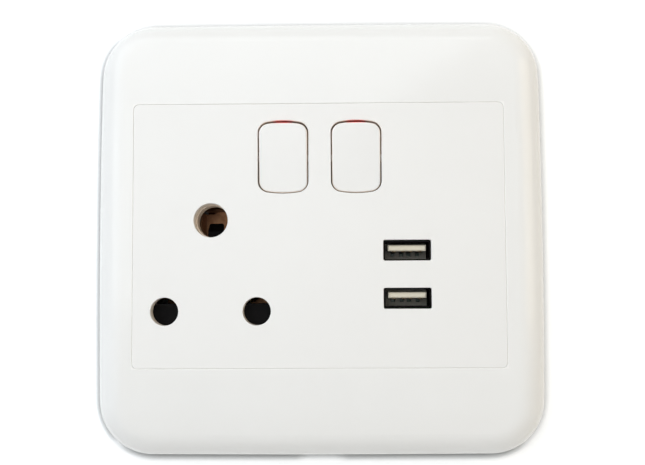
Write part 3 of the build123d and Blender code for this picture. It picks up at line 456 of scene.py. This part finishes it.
def coil(name, start, length, turns, radius, wire_width, around=12, per_turn=28):
    """Round wire wound into a coil along Z, closed at both ends."""
    steps = turns * per_turn
    rise = length / (2 * math.pi * turns * radius)
    points = []
    faces = []
    for i in range(steps + 1):
        turn = 2 * math.pi * i / per_turn
        out = Vector((math.cos(turn), math.sin(turn), 0.0))
        along = Vector((-math.sin(turn), math.cos(turn), rise)).normalized()
        up = out.cross(along)
        centre = Vector(start) + out * radius + Vector((0.0, 0.0, length * i / steps))
        for k in range(around):
            angle = 2 * math.pi * k / around
            points.append(centre + (out * math.cos(angle) + up * math.sin(angle)) * (wire_width / 2))
    for i in range(steps):
        for k in range(around):
            a = i * around + k
            b = i * around + (k + 1) % around
            faces.append((a, b, b + around, a + around))
    faces.append(tuple(range(around - 1, -1, -1)))
    faces.append(tuple(range(steps * around, (steps + 1) * around)))
    piece = add_mesh(name, points, faces)
    for face in piece.data.polygons:
        face.use_smooth = len(face.vertices) == 4
    return piece


# The shutter's spring is pressed shorter as the shutter goes down; here a coil at its free length takes
# its place and rides with the base.
spring_start = (spring_foot[0], spring_foot[1], spring_foot[2] + spring_wire / 2)
spring_rise = spring_free - spring_wire
shutter_coil = coil("shutter_coil", spring_start, spring_rise, spring_turns, spring_radius, spring_wire)
shutter_coil.data.materials.append(wire.mat)
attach(shutter_coil, "base")
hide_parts("shutter_spring")
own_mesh(shutter_coil)

# The stage: a pale floor, and a wall open behind the part and seen from the front only.
cover_points = [v.co for v in nodes["cover_frame"].data.vertices]
rim = [(p.x, p.z) for p in cover_points if abs(p.y) < wall_plane_depth]
inner = []
outer = []
for i in convex_hull_2d(rim):
    x, z = rim[i]
    reach = max(abs(x), abs(z))
    shrink = 1.0 - rim_inset / reach
    spread = stage_half / reach
    inner.append((x * shrink, 0.0, z * shrink))
    outer.append((x * spread, 0.0, max(z * spread, wall_foot_z)))
count = len(inner)
ring = [(i, (i + 1) % count, count + (i + 1) % count, count + i) for i in range(count)]
wall = add_mesh("wall", outer + inner, ring)
corners = ((-1, -1), (1, -1), (1, 1), (-1, 1))
floor = add_mesh("floor", [(x * stage_half, y * stage_half, floor_z) for x, y in corners], [(0, 1, 2, 3)])


def painted_contact_shadow(m):
    """The share of light that is left on the wall close to the rim, painted as a contact shadow from
    ambient occlusion.
    """
    near = m.add("ShaderNodeAmbientOcclusion", {"Distance": shadow_reach}, samples=shadow_samples)
    place = m.axes()
    left = m.span(place, "X", shadow_power, shadow_power_left, *shadow_edge)
    below = m.span(place, "Z", shadow_power, shadow_power_below, *shadow_edge)
    power = m.math_of_two("MAXIMUM", left, "Result", below, "Result")
    return m.math_of_two("POWER", near, "AO", power, "Value")


def stage_material(name, pale, shine, is_wall):
    """White surface that keeps the part's shadow and shows white to the camera; on the wall a painted
    contact shadow darkens it close to the rim.
    """
    mat = bpy.data.materials.new(name)
    m = Nodes(mat)
    diffuse = m.add("ShaderNodeBsdfDiffuse", {"Color": (pale, pale, pale, 1.0)})
    glow = m.add("ShaderNodeEmission", {"Color": stage_glow, "Strength": shine})
    lit = m.add("ShaderNodeAddShader")
    m.link(diffuse, 0, lit, 0)
    m.link(glow, 0, lit, 1)
    surface = m.either(m.in_view(), "Value", diffuse, lit)
    if is_wall:
        # Painted shadow: the wall's colour and glow darken by ambient occlusion close to the rim.
        light = painted_contact_shadow(m)
        m.link(m.span(light, "Value", 0.0, pale, 0.0, 1.0), "Result", diffuse, "Color")
        m.link(m.span(light, "Value", 0.0, shine, 0.0, 1.0), "Result", glow, "Strength")
        geometry = m.add("ShaderNodeNewGeometry")
        surface = m.either(geometry, "Backfacing", surface, m.add("ShaderNodeBsdfTransparent"))
    m.link(surface, 0, m.add("ShaderNodeOutputMaterial"), "Surface")
    return mat


wall.data.materials.append(stage_material("wall_white", pale=0.80, shine=0.40, is_wall=True))
floor.data.materials.append(stage_material("floor_white", pale=0.66, shine=0.36, is_wall=False))

# The world: even light on the part, and white where the camera sees it.
world = bpy.data.worlds.new("world")
scene.world = world
sky = Nodes(world)
even = sky.add("ShaderNodeBackground", {"Color": world_colour, "Strength": world_strength})
white = sky.add("ShaderNodeBackground", {"Color": background_white, "Strength": 1.0})
shown = sky.either(sky.in_view(), "Value", even, white)
sky.link(shown, 0, sky.add("ShaderNodeOutputWorld"), "Surface")


def area(name, place, size, watts, colour, target=(0, 0, 0)):
    """Square soft light aimed at a point."""
    lamp = bpy.data.lights.new(name, "AREA")
    lamp.shape = "RECTANGLE"
    lamp.size = size
    lamp.size_y = size
    lamp.energy = watts
    lamp.color = colour
    obj = bpy.data.objects.new(name, lamp)
    scene.collection.objects.link(obj)
    obj.location = place
    obj.rotation_euler = (Vector(target) - Vector(place)).to_track_quat("-Z", "Y").to_euler()


# A large soft key from the upper left, a weak light from the left, a warm fill, and one for the back.
area("key", (-0.30, -0.58, 0.37), size=0.95, watts=4.6, colour=cool_light)
area("side", (-0.55, -0.34, -0.12), size=0.6, watts=0.42, colour=cool_light)
area("fill", (0.46, -0.30, 0.14), size=0.4, watts=0.72, colour=warm_light)
area("back", (0.35, 0.60, 0.42), size=0.9, watts=4.0, colour=back_light, target=(0, 0.02, 0))

# The camera stands where the photograph was taken: a little below the middle, looking up slightly.
camera_data = bpy.data.cameras.new("camera")
camera_data.sensor_fit = "HORIZONTAL"
camera_data.sensor_width = sensor_width
camera_data.lens = sensor_width * focal_px / photo_width_px
camera_data.clip_start = clip_near
camera_data.clip_end = clip_far
camera = bpy.data.objects.new("camera", camera_data)
scene.collection.objects.link(camera)
turn_x, turn_y, turn_z = (
    Matrix.Rotation(math.radians(angle), 3, axis) for angle, axis in zip(camera_turn_deg, "XYZ")
)
back_turn = (turn_z @ turn_y @ turn_x).transposed()
to_part = Matrix(((1, 0, 0), (0, 0, -1), (0, 1, 0)))
eye = camera_aim - back_turn @ camera_offset
camera.matrix_world = Matrix.Translation(to_part @ eye * MM) @ (to_part @ back_turn).to_4x4()
scene.camera = camera

bpy.context.view_layer.update()
